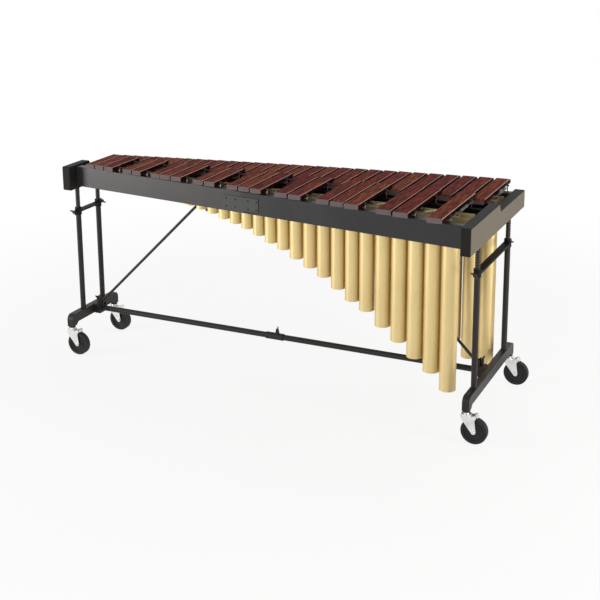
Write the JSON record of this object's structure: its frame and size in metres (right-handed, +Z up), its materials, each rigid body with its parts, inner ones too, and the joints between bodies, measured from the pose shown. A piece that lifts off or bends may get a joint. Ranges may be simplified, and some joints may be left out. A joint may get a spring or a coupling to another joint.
{
  "type": "xylophone",
  "caption": "Floor-standing bar percussion instrument with two rows of graduated wooden bars over tuned resonator tubes, on a height-adjustable frame with braked swivel casters.",
  "frame": {"origin": "centre of the whole instrument's box, on the floor", "axes": "+X from the short high bars to the long low bars, -Y towards the side of the raised bars, +Y towards the player, +Z up"},
  "size_m": [2.113, 0.853, 0.938],
  "materials": {
    "rosewood": "oiled rosewood, satin",
    "frame_board": "charcoal satin paint on a board",
    "end_board": "charcoal satin paint with a warm grey outer face",
    "plate_steel": "olive grey satin paint",
    "dark_screw": "blackened steel",
    "post_metal": "bright plated pin with a dark sleeve",
    "cord": "twisted cord",
    "spring_steel": "close wound spring",
    "gold_tube": "champagne gold anodised, satin",
    "gold_strip": "muted gold, satin",
    "black_steel": "black semi-gloss powder coat",
    "zinc": "bright zinc plate",
    "tyre_black": "matt black rubber",
    "lever_black": "matt black"
  },
  "bodies": {
    "stand": {"base_beam_high": "black_steel", "base_beam_low": "black_steel", "brace_bolts": "dark_screw", "cross_link_high": "black_steel", "cross_link_low": "black_steel", "crossbar_brackets": "black_steel", "crossbar_high": "black_steel", "crossbar_low": "black_steel", "crossbar_sleeve": "black_steel", "diagonal_braces": "black_steel", "leg_tubes_high": "black_steel", "leg_tubes_low": "black_steel"},
    "keyboard": {"brace_hangers": "black_steel", "cord_springs": "spring_steel", "end_block_high": "end_board", "end_block_low": "end_board", "front_rail_high": "frame_board", "front_rail_low": "frame_board", "height_posts_high": "black_steel", "height_posts_low": "black_steel", "inner_rails": "frame_board", "joint_plates": "plate_steel", "joint_screws": "dark_screw", "natural_bars_high": "rosewood", "natural_bars_low": "rosewood", "natural_bars_middle": "rosewood", "natural_cord": "cord", "natural_cord_posts": "post_metal", "natural_resonators_high": "gold_tube", "natural_resonators_low": "gold_tube", "raised_bars_high": "rosewood", "raised_bars_low": "rosewood", "raised_bars_middle": "rosewood", "raised_cord": "cord", "raised_cord_posts": "post_metal", "raised_resonators_high": "gold_tube", "raised_resonators_low": "gold_tube", "rear_rail_high": "frame_board", "rear_rail_low": "frame_board", "resonator_rests": "black_steel", "resonator_strips": "gold_strip"},
    "caster_high_front": {"caster_fork_high_front": "zinc"},
    "wheel_high_front": {"caster_wheel_high_front": "tyre_black"},
    "lever_high_front": {"brake_lever_high_front": "lever_black"},
    "clamp_screw_high_front": {"clamp_screw_high_front": "black_steel"},
    "caster_high_rear": {"caster_fork_high_rear": "zinc"},
    "wheel_high_rear": {"caster_wheel_high_rear": "tyre_black"},
    "lever_high_rear": {"brake_lever_high_rear": "lever_black"},
    "clamp_screw_high_rear": {"clamp_screw_high_rear": "black_steel"},
    "bracket_screw_high": {"bracket_screw_high": "black_steel"},
    "caster_low_front": {"caster_fork_low_front": "zinc"},
    "wheel_low_front": {"caster_wheel_low_front": "tyre_black"},
    "lever_low_front": {"brake_lever_low_front": "lever_black"},
    "clamp_screw_low_front": {"clamp_screw_low_front": "black_steel"},
    "caster_low_rear": {"caster_fork_low_rear": "zinc"},
    "wheel_low_rear": {"caster_wheel_low_rear": "tyre_black"},
    "lever_low_rear": {"brake_lever_low_rear": "lever_black"},
    "clamp_screw_low_rear": {"clamp_screw_low_rear": "black_steel"},
    "bracket_screw_low": {"bracket_screw_low": "black_steel"},
    "sleeve_screw": {"sleeve_screw": "black_steel"}
  },
  "joints": [
    {"name": "keyboard_height", "type": "slide", "parent": "stand", "child": "keyboard", "axis": [0, 0, 1], "range_m": [0, 0.068]},
    {"name": "caster_high_front_swivel", "type": "hinge", "parent": "stand", "child": "caster_high_front", "pos_m": [-1.0315, -0.204, 0.131], "axis": [0, 0, 1], "continuous": true},
    {"name": "wheel_high_front_roll", "type": "hinge", "parent": "caster_high_front", "child": "wheel_high_front", "pos_m": [-0.9965, -0.204, 0.055], "axis": [0, 1, 0], "continuous": true},
    {"name": "lever_high_front_press", "type": "hinge", "parent": "caster_high_front", "child": "lever_high_front", "pos_m": [-0.9915, -0.204, 0.119], "axis": [0, 1, 0], "range_deg": [0, 10]},
    {"name": "clamp_screw_high_front_turn", "type": "hinge", "parent": "stand", "child": "clamp_screw_high_front", "pos_m": [-1.0315, -0.1353, 0.683], "axis": [0, -1, 0], "range_deg": [0, 360]},
    {"name": "caster_high_rear_swivel", "type": "hinge", "parent": "stand", "child": "caster_high_rear", "pos_m": [-1.0315, 0.154, 0.131], "axis": [0, 0, 1], "continuous": true},
    {"name": "wheel_high_rear_roll", "type": "hinge", "parent": "caster_high_rear", "child": "wheel_high_rear", "pos_m": [-0.9965, 0.154, 0.055], "axis": [0, 1, 0], "continuous": true},
    {"name": "lever_high_rear_press", "type": "hinge", "parent": "caster_high_rear", "child": "lever_high_rear", "pos_m": [-0.9915, 0.154, 0.119], "axis": [0, 1, 0], "range_deg": [0, 10]},
    {"name": "clamp_screw_high_rear_turn", "type": "hinge", "parent": "stand", "child": "clamp_screw_high_rear", "pos_m": [-1.0315, 0.0853, 0.683], "axis": [0, 1, 0], "range_deg": [0, 360]},
    {"name": "bracket_screw_high_turn", "type": "hinge", "parent": "stand", "child": "bracket_screw_high", "pos_m": [-1.0005, -0.025, 0.2003], "axis": [0, 0, 1], "range_deg": [0, 360]},
    {"name": "caster_low_front_swivel", "type": "hinge", "parent": "stand", "child": "caster_low_front", "pos_m": [0.9665, -0.345, 0.131], "axis": [0, 0, 1], "continuous": true},
    {"name": "wheel_low_front_roll", "type": "hinge", "parent": "caster_low_front", "child": "wheel_low_front", "pos_m": [1.0015, -0.345, 0.055], "axis": [0, 1, 0], "continuous": true},
    {"name": "lever_low_front_press", "type": "hinge", "parent": "caster_low_front", "child": "lever_low_front", "pos_m": [1.0065, -0.345, 0.119], "axis": [0, 1, 0], "range_deg": [0, 10]},
    {"name": "clamp_screw_low_front_turn", "type": "hinge", "parent": "stand", "child": "clamp_screw_low_front", "pos_m": [0.9665, -0.2783, 0.683], "axis": [0, -1, 0], "range_deg": [0, 360]},
    {"name": "caster_low_rear_swivel", "type": "hinge", "parent": "stand", "child": "caster_low_rear", "pos_m": [0.9665, 0.295, 0.131], "axis": [0, 0, 1], "continuous": true},
    {"name": "wheel_low_rear_roll", "type": "hinge", "parent": "caster_low_rear", "child": "wheel_low_rear", "pos_m": [1.0015, 0.295, 0.055], "axis": [0, 1, 0], "continuous": true},
    {"name": "lever_low_rear_press", "type": "hinge", "parent": "caster_low_rear", "child": "lever_low_rear", "pos_m": [1.0065, 0.295, 0.119], "axis": [0, 1, 0], "range_deg": [0, 10]},
    {"name": "clamp_screw_low_rear_turn", "type": "hinge", "parent": "stand", "child": "clamp_screw_low_rear", "pos_m": [0.9665, 0.2283, 0.683], "axis": [0, 1, 0], "range_deg": [0, 360]},
    {"name": "bracket_screw_low_turn", "type": "hinge", "parent": "stand", "child": "bracket_screw_low", "pos_m": [0.9355, -0.025, 0.2003], "axis": [0, 0, 1], "range_deg": [0, 360]},
    {"name": "sleeve_screw_turn", "type": "hinge", "parent": "stand", "child": "sleeve_screw", "pos_m": [-0.0275, -0.025, 0.2013], "axis": [0, 0, 1], "range_deg": [0, 360]}
  ]
}
